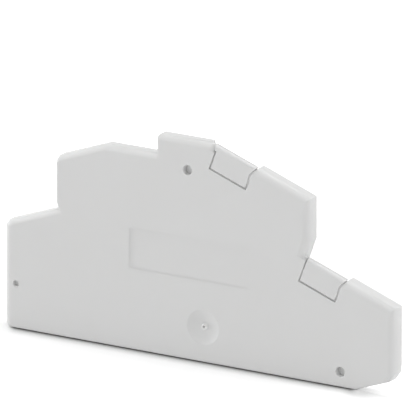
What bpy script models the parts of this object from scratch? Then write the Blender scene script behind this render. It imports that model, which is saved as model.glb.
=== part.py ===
"""End cover for a stepped double-level terminal block, moulded in one piece.

The plate stands on its long edge, with its outer face towards -Y and its open inner side towards +Y.
Shapes are drawn as (x, z) points from the plate's lower left corner, and depth y runs from the outer
face inwards. The finished cover is placed with the middle of its underside at the origin.
"""
import bmesh
import bpy
import math

for old in list(bpy.data.objects):
    bpy.data.objects.remove(old, do_unlink=True)

MM = 0.001

# Plate
THICKNESS = 2.2 * MM
SKIN = 1.0 * MM
WEB_THICKNESS = 0.85 * MM
RIM_WIDTH = 1.2 * MM
SLOPE = math.radians(20.0)

# Left side of the stepped outline: a sloping shoulder, a step, a sloping peak, a flat and the raised top
SHOULDER_HEIGHT = 16.52 * MM
SHOULDER_RUN = 9.2 * MM
STEP_FOOT = 1.18 * MM
PEAK_RUN = 8.6 * MM
FLAT_RUN = 9.03 * MM
RAISED_STEP = 3.08 * MM
RAISED_LENGTH = 10.02 * MM

# Right side: the heel, two sloping lands with a marker groove each, and the wall between them
HEEL_RUN = 6.8 * MM
LOWER_LAND_HEIGHT = 13.65 * MM
WALL_BEND = 2.77 * MM
UPPER_WALL = 6.46 * MM

# Corners in the plane of the plate: how far along each edge the cut runs, and its steps: one is straight
LEFT_CHAMFER = 0.68 * MM
PEAK_CHAMFER = 0.5 * MM
RAISED_CHAMFER = 0.3 * MM
HEEL_CHAMFER = 1.05 * MM
LAND_CORNER = 0.12 * MM
CHAMFER_STEPS = 1
ARC_STEPS = 4

# Rounding from the outer face over each edge
EDGE_ROUND = 1.3 * MM
TOP_ROUND = 0.95 * MM
STEP_ROUND = 0.4 * MM
FOOT_ROUND = 0.35 * MM
WEB_ROUND = 0.55 * MM
ROUND_STEPS = 8

# Marker grooves, measured up the slope from the land's low corner and down from the land
UPPER_GROOVE_START = 10.42 * MM
LOWER_GROOVE_START = 9.58 * MM
GROOVE_WIDTH = 6.5 * MM
GROOVE_DEPTH = 3.92 * MM
GROOVE_WALL = 0.58 * MM
LEAD_IN = 0.63 * MM
LEAD_IN_DEPTH = 1.55 * MM
UNDERCUT = 0.13 * MM
UNDERCUT_DEPTH = 2.9 * MM
HOOK = 0.36 * MM
HOOK_DEPTH = 1.0 * MM
POCKET_CLEARANCE = 0.2 * MM
SCORE_DEPTH = 0.4 * MM
SCORE_MOUTH = 0.34 * MM
SCORE_ROOT = 0.16 * MM
SEAM_DEPTH = 0.22 * MM
SEAM_MOUTH = 0.28 * MM
SEAM_EASE = 0.22 * MM
SEAM_EASE_DEPTH = 0.1 * MM

# Latching pegs, each with a short core hole in the outer face, placed from the nearest feature
PEG_LENGTH = 2.5 * MM
PEG_WALL = 0.75 * MM
PEG_TIP = 0.4 * MM
PEG_DRAFT = 0.06 * MM
BORE = 1.45 * MM
SIDE_BORE = 0.9 * MM
BORE_LIP = 0.12 * MM
BORE_DEPTH_SHARE = 0.68
UPPER_PEG_FROM_STEP = 5.37 * MM
UPPER_PEG_BELOW_TOP = 4.75 * MM
HEEL_PEG_FROM_HEEL = 2.5 * MM
HEEL_PEG_HEIGHT = 2.4 * MM
SIDE_PEG_FROM_EDGE = 2.2 * MM
SIDE_PEG_HEIGHT = 7.05 * MM
CIRCLE_SIDES = 40

# Label recess
LABEL_LEFT = 22.0 * MM
LABEL_BOTTOM = 12.7 * MM
LABEL_LENGTH = 20.9 * MM
LABEL_HEIGHT = 6.6 * MM
LABEL_DEPTH = 0.17 * MM
LABEL_CORNER = 0.35 * MM

# Gate dish with the torn gate in its middle
DISH_X = 34.95 * MM
DISH_HEIGHT = 5.5 * MM
DISH_DIAMETER = 5.8 * MM
DISH_DEPTH = 0.6 * MM
GATE_DIAMETER = 1.1 * MM
GATE_RIDGE_DIAMETER = 0.74 * MM
GATE_HEIGHT = 0.45 * MM
GATE_PIT_MOUTH = 0.62 * MM
GATE_PIT_ROOT = 0.16 * MM
GATE_PIT_DEPTH = 0.3 * MM

# Ribs on the inner side
RIB_WIDTH = 0.8 * MM
RIB_BELOW_RIM = 0.3 * MM
RIB_FROM_WALL = 8.7 * MM
LONG_RIB_HEIGHT = 9.6 * MM
UPPER_RIB_HEIGHT = 22.6 * MM

# Shallow marks that the ejector pins leave on the inner side, one beside each crossing of two ribs
EJECTOR_DIAMETER = 3.0 * MM
EJECTOR_DEPTH = 0.1 * MM
EJECTOR_FROM_RIB = 0.8 * MM

# How far a cutter runs past what it cuts, and how deep a joined piece is rooted
PAST = 1.0 * MM
ROOT = 0.3 * MM

# What the sizes above make: a cover about 68 mm long and 34.4 mm high
RISE = math.tan(SLOPE)
UPPER_LAND_LENGTH = UPPER_GROOVE_START + GROOVE_WIDTH + GROOVE_WALL
LOWER_LAND_LENGTH = LOWER_GROOVE_START + GROOVE_WIDTH + GROOVE_WALL
PEAK_X = SHOULDER_RUN + PEAK_RUN
RAISED_X = PEAK_X + FLAT_RUN
RAISED_END = RAISED_X + RAISED_LENGTH
UPPER_WALL_X = RAISED_END + UPPER_LAND_LENGTH * math.cos(SLOPE)
LENGTH = UPPER_WALL_X - WALL_BEND * math.sin(SLOPE) + LOWER_LAND_LENGTH * math.cos(SLOPE)
FOOT_LENGTH = LENGTH - HEEL_RUN
BEND_FOOT_HEIGHT = LOWER_LAND_HEIGHT + LOWER_LAND_LENGTH * math.sin(SLOPE)
WALL_FOOT_HEIGHT = BEND_FOOT_HEIGHT + WALL_BEND * math.cos(SLOPE)
UPPER_LAND_HEIGHT = WALL_FOOT_HEIGHT + UPPER_WALL
RAISED_HEIGHT = UPPER_LAND_HEIGHT + UPPER_LAND_LENGTH * math.sin(SLOPE)
PEAK_HEIGHT = RAISED_HEIGHT - RAISED_STEP
UPPER_LAND_CORNER = (UPPER_WALL_X, UPPER_LAND_HEIGHT)
LOWER_LAND_CORNER = (LENGTH, LOWER_LAND_HEIGHT)

# Each peg's place and its bore
PEGS = {
    "upper_peg": (RAISED_X + UPPER_PEG_FROM_STEP, RAISED_HEIGHT - UPPER_PEG_BELOW_TOP, BORE),
    "heel_peg": (FOOT_LENGTH - HEEL_PEG_FROM_HEEL, HEEL_PEG_HEIGHT, BORE),
    "side_peg": (SIDE_PEG_FROM_EDGE, SIDE_PEG_HEIGHT, SIDE_BORE),
}


def on_land(corner, along, depth):
    """The point so far up the slope from a land's low corner, and so far down into the plate."""
    x = corner[0] - along * math.cos(SLOPE) - depth * math.sin(SLOPE)
    z = corner[1] + along * math.sin(SLOPE) - depth * math.cos(SLOPE)
    return x, z


def outline_corners():
    """Each corner as (point, cut, steps of the cut, rounding of the edge that starts there)."""
    foot_x = SHOULDER_RUN + STEP_FOOT * math.sin(SLOPE)
    foot_height = SHOULDER_HEIGHT + foot_x * RISE
    lower_land_end = on_land(LOWER_LAND_CORNER, LOWER_LAND_LENGTH, 0.0)
    step_height = foot_height + STEP_FOOT * math.cos(SLOPE)
    peak_left = (SHOULDER_RUN, PEAK_HEIGHT - PEAK_RUN * RISE)
    return [
        ((0.0, 0.0), LEFT_CHAMFER, CHAMFER_STEPS, FOOT_ROUND),
        ((FOOT_LENGTH, 0.0), 0.0, CHAMFER_STEPS, FOOT_ROUND),
        ((LENGTH, HEEL_RUN * RISE), HEEL_CHAMFER, CHAMFER_STEPS, EDGE_ROUND),
        (LOWER_LAND_CORNER, LAND_CORNER, ARC_STEPS, EDGE_ROUND),
        (lower_land_end, 0.0, CHAMFER_STEPS, EDGE_ROUND),
        ((UPPER_WALL_X, WALL_FOOT_HEIGHT), 0.0, CHAMFER_STEPS, EDGE_ROUND),
        (UPPER_LAND_CORNER, LAND_CORNER, ARC_STEPS, EDGE_ROUND),
        ((RAISED_END, RAISED_HEIGHT), 0.0, CHAMFER_STEPS, TOP_ROUND),
        ((RAISED_X, RAISED_HEIGHT), RAISED_CHAMFER, CHAMFER_STEPS, STEP_ROUND),
        ((RAISED_X, PEAK_HEIGHT), 0.0, CHAMFER_STEPS, TOP_ROUND),
        ((PEAK_X, PEAK_HEIGHT), 0.0, CHAMFER_STEPS, TOP_ROUND),
        (peak_left, PEAK_CHAMFER, CHAMFER_STEPS, STEP_ROUND),
        ((SHOULDER_RUN, step_height), 0.0, CHAMFER_STEPS, STEP_ROUND),
        ((foot_x, foot_height), 0.0, CHAMFER_STEPS, TOP_ROUND),
        ((0.0, SHOULDER_HEIGHT), LEFT_CHAMFER, CHAMFER_STEPS, EDGE_ROUND),
    ]


def direction(start, end):
    length = math.dist(start, end)
    return (end[0] - start[0]) / length, (end[1] - start[1]) / length


def cut_corners(corners):
    """The outline's points with each corner cut straight or on an arc, and each edge's rounding."""
    points, rounds = [], []
    for i, (corner, cut, steps, edge_round) in enumerate(corners):
        if cut == 0.0:
            points.append(corner)
            rounds.append(edge_round)
            continue
        before, after = corners[i - 1], corners[(i + 1) % len(corners)]
        into, out = direction(before[0], corner), direction(corner, after[0])
        turn = math.atan2(into[0] * out[1] - into[1] * out[0], into[0] * out[0] + into[1] * out[1])
        radius = cut / math.tan(turn / 2)
        start = (corner[0] - into[0] * cut, corner[1] - into[1] * cut)
        centre = (start[0] - into[1] * radius, start[1] + into[0] * radius)
        for k in range(steps + 1):
            angle = math.atan2(into[1], into[0]) - math.pi / 2 + turn * k / steps
            points.append((centre[0] + radius * math.cos(angle), centre[1] + radius * math.sin(angle)))
            share = (k + 0.5) / steps
            rounds.append(edge_round if k == steps else before[3] * (1 - share) + edge_round * share)
    return points, rounds


def meeting_point(first, second):
    """Where two lines meet, each given as (point, direction)."""
    (px, pz), (dx, dz) = first
    (qx, qz), (ex, ez) = second
    along = ((qx - px) * ez - (qz - pz) * ex) / (dx * ez - dz * ex)
    return px + dx * along, pz + dz * along


def inset(points, amounts):
    """Moves every edge inwards by its own amount. An edge that shrinks away closes to a point."""
    count = len(points)
    lines = []
    for i, point in enumerate(points):
        dx, dz = direction(point, points[(i + 1) % count])
        lines.append(((point[0] - dz * amounts[i], point[1] + dx * amounts[i]), (dx, dz)))
    kept = list(range(count))
    while True:
        starts = {i: meeting_point(lines[kept[k - 1]], lines[i]) for k, i in enumerate(kept)}
        lengths = {}
        for k, i in enumerate(kept):
            end = starts[kept[(k + 1) % len(kept)]]
            dx, dz = lines[i][1]
            lengths[i] = (end[0] - starts[i][0]) * dx + (end[1] - starts[i][1]) * dz
        shortest = min(kept, key=lengths.get)
        if lengths[shortest] >= 0:
            break
        kept.remove(shortest)
    following = [next((j for j in kept if j >= i), kept[0]) for i in range(count)]
    return [starts[j] for j in following]


def plate_rings(points, rounds, shrink=0.0):
    """The plate's rings from its outer face inwards. shrink gives the same form that far inside it."""
    rings = []
    for k in range(ROUND_STEPS + 1):
        depth = EDGE_ROUND * (1 - math.cos(math.pi / 2 * k / ROUND_STEPS))
        depth = max(depth, shrink)
        amounts = []
        for edge_round in rounds:
            radius = max(edge_round - shrink, 0.0)
            below = min(max(edge_round - depth, 0.0), radius)
            amounts.append(shrink + radius - math.sqrt(radius * radius - below * below))
        if not rings or depth > rings[-1][0]:
            rings.append((depth, inset(points, amounts)))
    return rings


def loft(name, rings):
    """A closed solid through rings of equally many points, each given as (depth, points)."""
    mesh = bpy.data.meshes.new(name)
    bm = bmesh.new()
    loops = [[bm.verts.new((x, depth, z)) for x, z in points] for depth, points in rings]
    count = len(loops[0])
    for near, far in zip(loops, loops[1:]):
        for i in range(count):
            j = (i + 1) % count
            bm.faces.new((near[i], near[j], far[j], far[i]))
    bm.faces.new(loops[0])
    bm.faces.new(list(reversed(loops[-1])))
    bmesh.ops.remove_doubles(bm, verts=bm.verts, dist=0.001 * MM)
    bmesh.ops.recalc_face_normals(bm, faces=bm.faces)
    bm.to_mesh(mesh)
    bm.free()
    mesh.shade_smooth()
    mesh.set_sharp_from_angle(angle=math.radians(30.0))
    solid = bpy.data.objects.new(name, mesh)
    solid.location = (-LENGTH / 2, -(THICKNESS + PEG_LENGTH) / 2, 0.0)
    bpy.context.scene.collection.objects.link(solid)
    return solid


def prism(name, points, near, far):
    return loft(name, [(near, points), (far, points)])


def turned(name, centre, profile):
    """A solid turned about an axis along the depth. The profile is (depth, radius) pairs."""
    rings = []
    for depth, radius in profile:
        angles = [2 * math.pi * k / CIRCLE_SIDES for k in range(CIRCLE_SIDES)]
        ring = [(centre[0] + radius * math.cos(a), centre[1] + radius * math.sin(a)) for a in angles]
        rings.append((depth, ring))
    return loft(name, rings)


def boolean(solid, tool, operation):
    """Cuts the tool from the solid or joins it on, and keeps the tool itself out of the model."""
    modifier = solid.modifiers.new(tool.name, "BOOLEAN")
    modifier.operation = operation
    modifier.object = tool
    modifier.solver = "EXACT"
    tool.hide_render = True
    tool.display_type = "WIRE"


def box(left, bottom, right, top):
    return [(left, bottom), (right, bottom), (right, top), (left, top)]


def score_line(corner, start, hooked):
    """The marker groove's upper wall and floor, from above the plate to the foot of the lead-in."""
    upper = start + GROOVE_WIDTH
    line = []
    if hooked:
        slant = (GROOVE_WALL - HOOK) / HOOK_DEPTH
        line.append((upper + HOOK + slant * (HOOK_DEPTH + PAST), -PAST))
        line.append((upper + HOOK, HOOK_DEPTH))
        line.append((upper, HOOK_DEPTH))
    else:
        line.append((upper, -PAST))
    line.append((upper, GROOVE_DEPTH))
    line.append((start - SEAM_MOUTH / 2, GROOVE_DEPTH))
    return [on_land(corner, along, depth) for along, depth in line]


def seam_line(corner, start):
    """The marker groove's lower wall, from its foot past the lead-in to above the plate."""
    line = [
        (start, GROOVE_DEPTH),
        (start - UNDERCUT, UNDERCUT_DEPTH),
        (start, LEAD_IN_DEPTH),
        (start - LEAD_IN * (1 + PAST / LEAD_IN_DEPTH), -PAST),
    ]
    return [on_land(corner, along, depth) for along, depth in line]


def web_edge(name, corner, start, hooked):
    """The edge of the thin web in front of a groove, with a smaller rounding than the lands beside it.

    Without a hook it runs on past the scored line and into the wall's foot, under the wall's rounding.
    """
    inside = SCORE_ROOT / 4
    lower, upper = start + inside, start + GROOVE_WIDTH - inside
    if not hooked:
        upper += GROOVE_WALL + EDGE_ROUND + ROOT
    rings = []
    for k in range(ROUND_STEPS + 1):
        angle = math.pi / 2 * k / ROUND_STEPS
        top = WEB_ROUND * (1 - math.sin(angle))
        line = [(lower, LEAD_IN_DEPTH), (lower - LEAD_IN * (1 - top / LEAD_IN_DEPTH), top)]
        if hooked:
            slant = (GROOVE_WALL - HOOK) / HOOK_DEPTH
            line.append((upper + HOOK + slant * (HOOK_DEPTH - top), top))
            line.append((upper + HOOK, HOOK_DEPTH - inside))
            line.append((upper, HOOK_DEPTH - inside))
        else:
            line.append((upper, top))
        line.append((upper, LEAD_IN_DEPTH))
        outline = [on_land(corner, along, depth) for along, depth in line]
        rings.append((WEB_ROUND * (1 - math.cos(angle)), outline))
    rings.append((SKIN + ROOT / 2, rings[-1][1]))
    return loft(name, rings)


def ribbon(line, left_width, right_width):
    """A band along an open line, as wide on each side as it says, as a closed outline."""
    left, right = [], []
    for i, point in enumerate(line):
        into = direction(line[max(i - 1, 0)], line[max(i, 1)])
        out = direction(line[min(i, len(line) - 2)], line[min(i + 1, len(line) - 1)])
        nx, nz = -(into[1] + out[1]), into[0] + out[0]
        lean = nz * into[0] - nx * into[1]
        left.append((point[0] + nx * left_width / lean, point[1] + nz * left_width / lean))
        right.append((point[0] - nx * right_width / lean, point[1] - nz * right_width / lean))
    return right + list(reversed(left))


def inner_form(points, rounds, shrink):
    """The plate's own form, so far inside its surface, which stops a slit at an even depth."""
    back = (THICKNESS + 2 * PAST, inset(points, [shrink] * len(points)))
    return loft("inner_form", plate_rings(points, rounds, shrink) + [back])


def score(name, line, core):
    """The scored line that closes a marker groove: a tapered slit that stays even over the rounding."""
    mouth = ribbon(line, SCORE_MOUTH / 2, SCORE_MOUTH / 2)
    root = ribbon(line, SCORE_ROOT / 2, SCORE_ROOT / 2)
    slit = loft(name, [(-PAST, mouth), (0.0, mouth), (SCORE_DEPTH, root), (THICKNESS + PAST, root)])
    boolean(slit, core, "DIFFERENCE")
    return slit


def seam(name, line, core):
    """The shallower line on the lead-in's side, eased on the side of the land."""
    eased = ribbon(line, SEAM_MOUTH / 2, SEAM_MOUTH / 2 + SEAM_EASE)
    mouth = ribbon(line, SEAM_MOUTH / 2, SEAM_MOUTH / 2)
    root = ribbon(line, SCORE_ROOT / 2, SCORE_ROOT / 2)
    rings = [(-PAST, eased), (0.0, eased), (SEAM_EASE_DEPTH, mouth)]
    slit = loft(name, rings + [(SEAM_DEPTH, root), (THICKNESS + PAST, root)])
    boolean(slit, core, "DIFFERENCE")
    return slit


def lead_in_side(corner, start):
    """The pocket's wall behind the seam, from the pocket's floor to above the land."""
    wall = start - POCKET_CLEARANCE
    top = start - LEAD_IN * (1 + PAST / LEAD_IN_DEPTH)
    line = [(wall, GROOVE_DEPTH + POCKET_CLEARANCE), (wall, LEAD_IN_DEPTH), (top, -PAST)]
    return [on_land(corner, along, depth) for along, depth in line]


def pockets():
    """The two spaces behind the marker grooves, open through the lands above them."""
    floor = GROOVE_DEPTH + POCKET_CLEARANCE
    floor_end = on_land(UPPER_LAND_CORNER, UPPER_GROOVE_START + GROOVE_WIDTH + POCKET_CLEARANCE, floor)
    upper = [floor_end] + lead_in_side(UPPER_LAND_CORNER, UPPER_GROOVE_START)
    upper.append((floor_end[0], RAISED_HEIGHT + 2 * PAST))
    end = LOWER_GROOVE_START + GROOVE_WIDTH + GROOVE_WALL
    lower = [on_land(LOWER_LAND_CORNER, end, floor)] + lead_in_side(LOWER_LAND_CORNER, LOWER_GROOVE_START)
    lower.append(on_land(LOWER_LAND_CORNER, end, -PAST))
    return {"upper_pocket": upper, "lower_pocket": lower}


def hollow(points):
    """The shallow space inside the rim, kept clear of the walls round the pockets and of the ribs."""
    space = prism("hollow", inset(points, [RIM_WIDTH] * len(points)), SKIN, THICKNESS + PAST)
    for name, pocket in pockets().items():
        walled = inset(pocket, [-RIM_WIDTH] * len(pocket))
        boolean(space, prism(name + "_wall", walled, SKIN - ROOT, THICKNESS + 2 * PAST), "DIFFERENCE")
    half = RIB_WIDTH / 2
    ribs = {"long_rib": box(-PAST, LONG_RIB_HEIGHT - half, LENGTH + PAST, LONG_RIB_HEIGHT + half)}
    ribs["upper_rib"] = box(-PAST, UPPER_RIB_HEIGHT - half, LENGTH + PAST, UPPER_RIB_HEIGHT + half)
    for name, x in {"peak_rib": PEAK_X, "wall_rib": UPPER_WALL_X - RIB_FROM_WALL}.items():
        ribs[name] = box(x - half, -PAST, x + half, RAISED_HEIGHT + PAST)
    for name, outline in ribs.items():
        boolean(space, prism(name, outline, SKIN - ROOT, THICKNESS - RIB_BELOW_RIM), "DIFFERENCE")
    return space


def peg(name, x, z, bore_diameter):
    radius = bore_diameter / 2 + PEG_WALL
    end = THICKNESS + PEG_LENGTH
    profile = [(SKIN - ROOT, radius + PEG_DRAFT), (end - PEG_TIP, radius), (end, radius - PEG_TIP)]
    return turned(name, (x, z), profile)


def bore(name, x, z, bore_diameter):
    """The short core hole over a peg, open at the outer face with an eased lip."""
    radius = bore_diameter / 2
    end = bore_diameter * BORE_DEPTH_SHARE
    profile = [(-BORE_LIP, radius + 2 * BORE_LIP), (BORE_LIP, radius), (end, radius)]
    return turned(name, (x, z), profile)


def label_recess():
    """A shallow recess with sloped walls and small corner radii, left plain."""
    right, top = LABEL_LEFT + LABEL_LENGTH, LABEL_BOTTOM + LABEL_HEIGHT
    corners = [(point, LABEL_CORNER, ARC_STEPS, 0.0) for point in box(LABEL_LEFT, LABEL_BOTTOM, right, top)]
    mouth, _ = cut_corners(corners)
    floor = inset(mouth, [LABEL_DEPTH] * len(mouth))
    flare = inset(mouth, [-LABEL_DEPTH] * len(mouth))
    return loft("label_recess", [(-LABEL_DEPTH, flare), (LABEL_DEPTH, floor)])


def gate_dish():
    """A shallow round dish, cut as a cap of a sphere."""
    half = DISH_DIAMETER / 2
    sphere = (half * half + DISH_DEPTH * DISH_DEPTH) / (2 * DISH_DEPTH)
    edge = math.asin(half / sphere)
    profile = [(-DISH_DEPTH, half + 2 * DISH_DEPTH * sphere / half)]
    steps = 10
    for k in range(steps):
        angle = edge * (1 - k / steps)
        profile.append((DISH_DEPTH - sphere * (1 - math.cos(angle)), sphere * math.sin(angle)))
    profile.append((DISH_DEPTH, half / (4 * steps)))
    return turned("gate_dish", (DISH_X, DISH_HEIGHT), profile)


def gate():
    """The stub that the gate left in the dish, wider at its root than at its ridge."""
    root = GATE_DIAMETER / 2
    top = DISH_DEPTH - GATE_HEIGHT
    profile = [(top, GATE_RIDGE_DIAMETER / 2), (DISH_DEPTH, root), (DISH_DEPTH + ROOT, root)]
    return turned("gate", (DISH_X, DISH_HEIGHT), profile)


def gate_pit():
    """The funnel where the gate tore off, inside the ridge that it left."""
    top = DISH_DEPTH - GATE_HEIGHT
    mouth = GATE_PIT_MOUTH / 2
    profile = [(top - ROOT, mouth), (top, mouth), (top + GATE_PIT_DEPTH, GATE_PIT_ROOT / 2)]
    return turned("gate_pit", (DISH_X, DISH_HEIGHT), profile)


def light_grey_polyamide():
    material = bpy.data.materials.new("light_grey_polyamide")
    material.use_nodes = True
    shader = material.node_tree.nodes["Principled BSDF"]
    shader.inputs["Base Color"].default_value = (0.62, 0.62, 0.61, 1.0)
    shader.inputs["Roughness"].default_value = 0.5
    shader.inputs["Metallic"].default_value = 0.0
    return material


def ejector_marks():
    """One shallow round mark in the skin below and right of each rib crossing."""
    radius = EJECTOR_DIAMETER / 2
    reach = RIB_WIDTH / 2 + EJECTOR_FROM_RIB + radius
    marks = []
    for rib_x in (PEAK_X, UPPER_WALL_X - RIB_FROM_WALL):
        for rib_height in (LONG_RIB_HEIGHT, UPPER_RIB_HEIGHT):
            profile = [(SKIN - EJECTOR_DEPTH, radius), (SKIN + EJECTOR_DEPTH, radius)]
            name = f"ejector_mark_{len(marks) + 1}"
            marks.append(turned(name, (rib_x + reach, rib_height - reach), profile))
    return marks


def end_cover():
    points, rounds = cut_corners(outline_corners())
    cover = loft("end_cover", plate_rings(points, rounds) + [(THICKNESS, points)])
    cover.data.materials.append(light_grey_polyamide())
    boolean(cover, hollow(points), "DIFFERENCE")
    grooves = {
        "upper": (UPPER_LAND_CORNER, UPPER_GROOVE_START, True),
        "lower": (LOWER_LAND_CORNER, LOWER_GROOVE_START, False),
    }
    for name, (corner, start, hooked) in grooves.items():
        boolean(cover, web_edge(name + "_web_edge", corner, start, hooked), "UNION")
    for name, outline in pockets().items():
        boolean(cover, prism(name, outline, WEB_THICKNESS, THICKNESS + PAST), "DIFFERENCE")
    for name, place in PEGS.items():
        boolean(cover, peg(name, *place), "UNION")
    for mark in ejector_marks():
        boolean(cover, mark, "DIFFERENCE")
    for name, place in PEGS.items():
        boolean(cover, bore(name + "_bore", *place), "DIFFERENCE")
    under_score = inner_form(points, rounds, SCORE_DEPTH)
    under_seam = inner_form(points, rounds, SEAM_DEPTH)
    for name, (corner, start, hooked) in grooves.items():
        boolean(cover, score(name + "_score", score_line(corner, start, hooked), under_score), "DIFFERENCE")
        boolean(cover, seam(name + "_seam", seam_line(corner, start), under_seam), "DIFFERENCE")
    boolean(cover, label_recess(), "DIFFERENCE")
    boolean(cover, gate_dish(), "DIFFERENCE")
    boolean(cover, gate(), "UNION")
    boolean(cover, gate_pit(), "DIFFERENCE")


end_cover()
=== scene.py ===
import math

import bmesh
import bpy
from mathutils import Matrix, Vector


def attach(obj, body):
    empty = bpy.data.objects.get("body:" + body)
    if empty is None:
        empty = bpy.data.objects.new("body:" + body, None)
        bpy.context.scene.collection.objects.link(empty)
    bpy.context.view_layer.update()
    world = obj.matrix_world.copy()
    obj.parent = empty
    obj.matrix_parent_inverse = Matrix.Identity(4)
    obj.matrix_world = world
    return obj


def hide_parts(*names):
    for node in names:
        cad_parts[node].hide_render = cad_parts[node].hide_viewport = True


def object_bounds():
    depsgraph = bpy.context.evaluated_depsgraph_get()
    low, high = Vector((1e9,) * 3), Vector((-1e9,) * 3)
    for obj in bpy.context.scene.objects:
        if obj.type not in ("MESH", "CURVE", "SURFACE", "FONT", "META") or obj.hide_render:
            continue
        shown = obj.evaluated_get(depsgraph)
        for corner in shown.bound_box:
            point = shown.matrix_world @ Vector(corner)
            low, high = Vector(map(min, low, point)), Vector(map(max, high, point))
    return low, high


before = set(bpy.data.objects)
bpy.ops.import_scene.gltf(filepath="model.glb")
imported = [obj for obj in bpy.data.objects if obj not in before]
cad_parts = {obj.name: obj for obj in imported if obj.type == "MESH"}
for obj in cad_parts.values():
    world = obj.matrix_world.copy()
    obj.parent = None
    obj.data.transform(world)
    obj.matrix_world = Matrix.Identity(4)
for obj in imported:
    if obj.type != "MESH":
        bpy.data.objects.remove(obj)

cad_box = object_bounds()

# The end cover: one thin injection moulding in light grey polyamide that closes the open side of a
# double-level terminal block. Its edges, grooves, recess, dish and pegs all come out of the mould in one
# shot, and it is pressed onto the block with the pegs on its inner side.
LEFT_END, OUTER_FACE, UNDERSIDE = cad_box[0]
HEEL_END = cad_box[1][0]
WELD = 0.000002
FLAT_WITHIN = math.radians(0.2)
SHARP_OVER = math.radians(32)
LARGE_FACES_LEAD = 100


def moulded_skin(node):
    """A copy of the node with its loose triangles joined and its flat faces made whole."""
    mesh = node.data.copy()
    mesh.materials.clear()
    mesh.normals_split_custom_set([(0.0, 0.0, 0.0)] * len(mesh.loops))
    shape = bmesh.new()
    shape.from_mesh(mesh)
    bmesh.ops.remove_doubles(shape, verts=shape.verts, dist=WELD)
    bmesh.ops.dissolve_limit(shape, angle_limit=FLAT_WITHIN, verts=shape.verts, edges=shape.edges)
    shape.to_mesh(mesh)
    shape.free()
    return mesh


cover = bpy.data.objects.new("cover_moulding", moulded_skin(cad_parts["end_cover"]))
bpy.context.scene.collection.objects.link(cover)
cover.data.shade_smooth()
cover.data.set_sharp_from_angle(angle=SHARP_OVER)
even = cover.modifiers.new("even_shading", "WEIGHTED_NORMAL")
even.mode = "FACE_AREA"
even.weight = LARGE_FACES_LEAD
even.keep_sharp = True


class Wire:
    """A socket in a node tree. Arithmetic on it adds Math nodes, and add() adds any other node."""

    def __init__(self, tree, socket=None):
        self.tree = tree
        self.socket = socket

    def add(self, kind, settings=(), output=0, **sockets):
        """A new node with its settings made first, then values or links given to its sockets.

        A socket goes by its name, with _ for each space, or by its number after a _.
        """
        node = self.tree.nodes.new(kind)
        for name, value in dict(settings).items():
            setattr(node, name, value)
        for name, value in sockets.items():
            key = int(name[1:]) if name[1:].isdigit() else name.replace("_", " ")
            if isinstance(value, Wire):
                self.tree.links.new(value.socket, node.inputs[key])
            else:
                node.inputs[key].default_value = value
        return Wire(self.tree, node.outputs[output])

    def other(self, output):
        """Another output of the node that this socket is on."""
        return Wire(self.tree, self.socket.node.outputs[output])

    def maths(self, operation, first, second):
        return self.add("ShaderNodeMath", {"operation": operation}, _0=first, _1=second)

    def __add__(self, other):
        return self.maths("ADD", self, other)

    def __radd__(self, other):
        return self.maths("ADD", other, self)

    def __sub__(self, other):
        return self.maths("SUBTRACT", self, other)

    def __rsub__(self, other):
        return self.maths("SUBTRACT", other, self)

    def __mul__(self, other):
        return self.maths("MULTIPLY", self, other)

    def __rmul__(self, other):
        return self.maths("MULTIPLY", other, self)


# The polyamide is dyed through, with a faint drift in its grey and a fine spark-eroded grain that the
# mould leaves on it. Where the gate tore off, in the middle of the dish, the torn ring is painted whiter as
# a painted highlight, and the pit is painted dark as painted shade.
GREY = (0.6315, 0.6345, 0.6335, 1.0)
GREY_DRIFT = (0.615, 0.6145, 0.6105, 1.0)
DRIFT_SCALE = 70.0
DRIFT_DETAIL = 3.0
GRAIN_SCALE = 5200.0
GRAIN_DETAIL = 2.0
GRAIN_DEPTH = 0.00002
GRAIN_STRENGTH = 0.12
ROUGHNESS = 0.44
GRAIN_ROUGHNESS = 0.08
REFRACTION = 1.5
GLOW = 0.5
GLOW_REACH = 0.0002
GLOW_BY_COLOUR = (1.0, 0.95, 0.9)
GATE_MIDDLE = (LEFT_END + 0.03495, OUTER_FACE + 0.00035, UNDERSIDE + 0.0055)
# Painted highlight: the torn ring round the gate is painted whiter.
TORN_HIGHLIGHT_GREY = (0.75, 0.75, 0.745, 1.0)
TORN_WITHIN = 0.0005
TORN_UP_TO = 0.00065
# Painted shade: the gate's pit is painted dark.
PIT_MIDDLE = (GATE_MIDDLE[0], OUTER_FACE + 0.00045, GATE_MIDDLE[2])
PIT_SHADE_GREY = (0.4, 0.395, 0.39, 1.0)
PIT_WITHIN = 0.0002
PIT_UP_TO = 0.00034


def distance(place, point):
    return place.add("ShaderNodeVectorMath", {"operation": "DISTANCE"}, output="Value", _0=place, _1=point)


def fade(value, start, end, low=0.0, high=1.0, course="LINEAR"):
    """Low as far as the start, high from the end on, and in between on the given course."""
    return value.add(
        "ShaderNodeMapRange", {"interpolation_type": course},
        Value=value, From_Min=start, From_Max=end, To_Min=low, To_Max=high,
    )


def blend(share, colour, into):
    return share.add("ShaderNodeMix", {"data_type": "RGBA"}, output=2, _0=share, _6=colour, _7=into)


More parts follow.
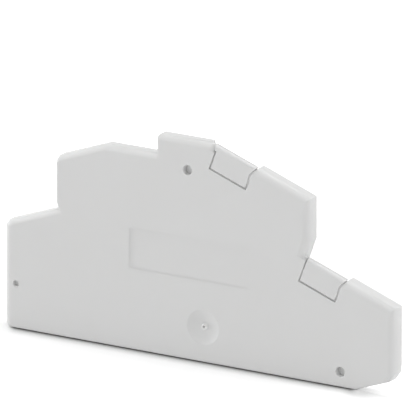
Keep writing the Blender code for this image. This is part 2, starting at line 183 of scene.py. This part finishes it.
def polyamide():
    """The grey with its drift, a painted highlight and painted pit shade at the gate, and the grain in
    gloss and relief.
    """
    material = bpy.data.materials.new("light_grey_polyamide")
    material.use_nodes = True
    tree = material.node_tree
    shader = tree.nodes["Principled BSDF"]
    start = Wire(tree)
    place = start.add("ShaderNodeTexCoord", output="Object")
    drift = start.add("ShaderNodeTexNoise", Vector=place, Scale=DRIFT_SCALE, Detail=DRIFT_DETAIL)
    grain = start.add("ShaderNodeTexNoise", Vector=place, Scale=GRAIN_SCALE, Detail=GRAIN_DETAIL)
    # Painted highlight: whiter on the gate's torn ring.
    torn_highlight = fade(distance(place, GATE_MIDDLE), TORN_UP_TO, TORN_WITHIN)
    # Painted shade: dark in the gate's pit.
    pit_shade = fade(distance(place, PIT_MIDDLE), PIT_UP_TO, PIT_WITHIN)
    dyed = blend(drift, GREY, GREY_DRIFT)
    colour = blend(pit_shade, blend(torn_highlight, dyed, TORN_HIGHLIGHT_GREY), PIT_SHADE_GREY)
    roughness = ROUGHNESS + GRAIN_ROUGHNESS * grain
    relief = start.add("ShaderNodeBump", Strength=GRAIN_STRENGTH, Distance=GRAIN_DEPTH, Height=grain)
    tree.links.new(colour.socket, shader.inputs["Base Color"])
    tree.links.new(roughness.socket, shader.inputs["Roughness"])
    tree.links.new(relief.socket, shader.inputs["Normal"])
    shader.inputs["IOR"].default_value = REFRACTION
    shader.inputs["Subsurface Weight"].default_value = GLOW
    shader.inputs["Subsurface Radius"].default_value = GLOW_BY_COLOUR
    shader.inputs["Subsurface Scale"].default_value = GLOW_REACH
    return material


cover.data.materials.append(polyamide())
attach(cover, "root")
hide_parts("end_cover")

# The table: a plain white sheet that the cover stands on, white to the camera. Its colour holds painted
# shadow: a narrow one in the crease along the cover's foot, taken from the table's occlusion, and a soft
# one at the heel, where the foot has ended.
SHEET_REACH = 0.9
SHEET_BELOW = 0.00001
SHEET_WHITE = 0.85

# The foot's painted shadow: how far its crease reaches, how dark it is, and where it ends under the two
# ends of the cover, on a slant in front of them.
CREASE_REACH = 0.0028
CREASE_SAMPLES = 16
CREASE_FROM = 0.5
CREASE_TO = 0.68
CREASE_SHADE = 0.28
FOOT_FROM = LEFT_END + 0.0012
FOOT_TO = HEEL_END - 0.0069
FOOT_FADE = 0.0016
FOOT_SLANT = 0.592

# A soft painted shadow on the table in front of the heel.
POOL_MIDDLE = (FOOT_TO + 0.0018, OUTER_FACE - 0.0008, 0.0)
POOL_REACH = 0.0037
POOL_SHADE = 0.24

# The share of white that the camera sees in any light: little round the cover, where its shadow falls,
# all of it further off, and some more under the heel, as painted light that lightens the shade there.
LIFT = 0.12
LIFT_FROM = 0.04
LIFT_TO = 0.2
HEEL_PAINTED_LIGHT = 0.36
HEEL_LIFT_FROM = -0.0003
HEEL_LIFT_TO = 0.0006
UNDER_FROM = OUTER_FACE - 0.0002
UNDER_TO = OUTER_FACE + 0.0006

sheet_mesh = bpy.data.meshes.new("white_sheet")
corners = [(-1, -1), (1, -1), (1, 1), (-1, 1)]
table_height = UNDERSIDE - SHEET_BELOW
sheet_points = [(SHEET_REACH * x, SHEET_REACH * y, table_height) for x, y in corners]
sheet_mesh.from_pydata(sheet_points, [], [(0, 1, 2, 3)])
sheet = bpy.data.objects.new("white_sheet", sheet_mesh)
bpy.context.scene.collection.objects.link(sheet)


def soft_fade(value, start, end, low=0.0, high=1.0):
    """The same on a course that starts and ends softly."""
    return fade(value, start, end, low, high, "SMOOTHSTEP")


def background_ray(start):
    """1 for a ray from the camera, also by way of gloss or a clear material, and 0 for all light."""
    camera_ray = start.add("ShaderNodeLightPath", output="Is Camera Ray")
    clear_or_camera = start.maths("MAXIMUM", camera_ray, camera_ray.other("Is Transmission Ray"))
    return start.maths("MAXIMUM", clear_or_camera, camera_ray.other("Is Glossy Ray"))


def white_sheet():
    """White, with the cover's shadows painted into its colour and its lift, for the camera's rays alone."""
    material = bpy.data.materials.new("white_sheet")
    material.use_nodes = True
    tree = material.node_tree
    tree.nodes.remove(tree.nodes["Principled BSDF"])
    start = Wire(tree)
    place = start.add("ShaderNodeTexCoord", output="Object")
    along = start.add("ShaderNodeSeparateXYZ", Vector=place)
    across = along.other("Y")

    # Painted shadow in the crease along the foot, taken from the table's occlusion.
    open_sky = start.add(
        "ShaderNodeAmbientOcclusion", {"samples": CREASE_SAMPLES}, output="AO", Distance=CREASE_REACH
    )
    crease = fade(open_sky, CREASE_FROM, CREASE_TO, low=CREASE_SHADE)
    ahead = start.maths("MINIMUM", across - OUTER_FACE, 0.0)
    run = along + FOOT_SLANT * ahead
    past_heel = soft_fade(run, FOOT_TO - FOOT_FADE / 2, FOOT_TO + FOOT_FADE / 2)
    past_left = soft_fade(run, FOOT_FROM + FOOT_FADE / 2, FOOT_FROM - FOOT_FADE / 2)
    painted_foot_shadow = (1.0 - open_sky * crease) * (1.0 - past_heel - past_left)
    # Painted shadow: a soft round pool in front of the heel.
    painted_pool_shadow = soft_fade(distance(place, POOL_MIDDLE), POOL_REACH, 0.0, high=POOL_SHADE)
    white = (1.0 - painted_foot_shadow) * (1.0 - painted_pool_shadow)

    wide_lift = soft_fade(distance(place, (0.0, 0.0, 0.0)), LIFT_FROM, LIFT_TO, low=LIFT)
    # Painted light: the table glows more under the heel, where the foot has ended.
    heel_painted_light = soft_fade(run, FOOT_TO + HEEL_LIFT_FROM, FOOT_TO + HEEL_LIFT_TO, high=HEEL_PAINTED_LIGHT)
    under = soft_fade(across, UNDER_FROM, UNDER_TO)
    lift = start.add("ShaderNodeEmission", Strength=(wide_lift + heel_painted_light * under) * white)

    plain = start.add("ShaderNodeBsdfDiffuse", Color=(SHEET_WHITE, SHEET_WHITE, SHEET_WHITE, 1.0))
    # The painted shadows darken the table's colour for the camera.
    shaded = start.add("ShaderNodeBsdfDiffuse", Color=SHEET_WHITE * white)
    lifted = start.add("ShaderNodeAddShader", _0=shaded, _1=lift)
    sheet_look = start.add("ShaderNodeMixShader", _0=background_ray(start), _1=plain, _2=lifted)
    tree.links.new(sheet_look.socket, tree.nodes["Material Output"].inputs["Surface"])
    return material


sheet_mesh.materials.append(white_sheet())

# The studio: an even room, which is plain white to the camera, and four soft lamps, over the cover, in
# front of it and at both sides.
ROOM_LIGHT = 0.577
LAMP_AIM = Vector((0.0, 0.0, 0.017))


def soft_lamp(name, place, size, watts):
    """A square area lamp that faces the middle of the cover."""
    light = bpy.data.lights.new(name, "AREA")
    light.size = size
    light.energy = watts
    lamp = bpy.data.objects.new(name, light)
    lamp.location = place
    lamp.rotation_euler = (LAMP_AIM - lamp.location).to_track_quat("-Z", "Y").to_euler()
    bpy.context.scene.collection.objects.link(lamp)


soft_lamp("top_lamp", place=(0.0, 0.0, 0.7), size=0.35, watts=2.2)
soft_lamp("left_lamp", place=(-0.68, -0.12, 0.11), size=0.2, watts=1.58)
soft_lamp("front_lamp", place=(0.0, -0.7, 0.15), size=0.35, watts=0.9)
soft_lamp("right_lamp", place=(0.65, 0.2, 0.2), size=0.35, watts=1.6)

room = bpy.data.worlds.new("white_room")
room.use_nodes = True
bpy.context.scene.world = room
room_light = ROOM_LIGHT + (1.0 - ROOM_LIGHT) * background_ray(Wire(room.node_tree))
room_background = room.node_tree.nodes["Background"]
room.node_tree.links.new(room_light.socket, room_background.inputs["Strength"])
room_background.inputs["Color"].default_value = (1.0, 1.0, 1.0, 1.0)

# The camera: a long lens that looks a little down on the outer face from its right, so that the tops and
# the heel's end show beside it.
AZIMUTH = math.radians(30.636)
ELEVATION = math.radians(17.173)
ROLL = math.radians(0.1014)
CAMERA_DISTANCE = 2.3169
AIM = Vector((-0.00073, 0.000737, 0.023732))
SENSOR = 36.0
PIXELS_PER_METRE = 6689.1
FRAME_PIXELS = 408
NEAREST = 0.1
FARTHEST = 20.0

back = Vector((
    math.sin(AZIMUTH) * math.cos(ELEVATION),
    -math.cos(AZIMUTH) * math.cos(ELEVATION),
    math.sin(ELEVATION),
))
lens = bpy.data.cameras.new("camera")
lens.sensor_width = SENSOR
lens.lens = PIXELS_PER_METRE * CAMERA_DISTANCE * SENSOR / FRAME_PIXELS
lens.clip_start = NEAREST
lens.clip_end = FARTHEST
camera = bpy.data.objects.new("camera", lens)
camera.location = AIM + CAMERA_DISTANCE * back
level = (-back).to_track_quat("-Z", "Y").to_matrix()
camera.rotation_euler = (level @ Matrix.Rotation(ROLL, 3, "Z")).to_euler()
bpy.context.scene.collection.objects.link(camera)
bpy.context.scene.camera = camera
bpy.context.scene.view_settings.view_transform = "Standard"
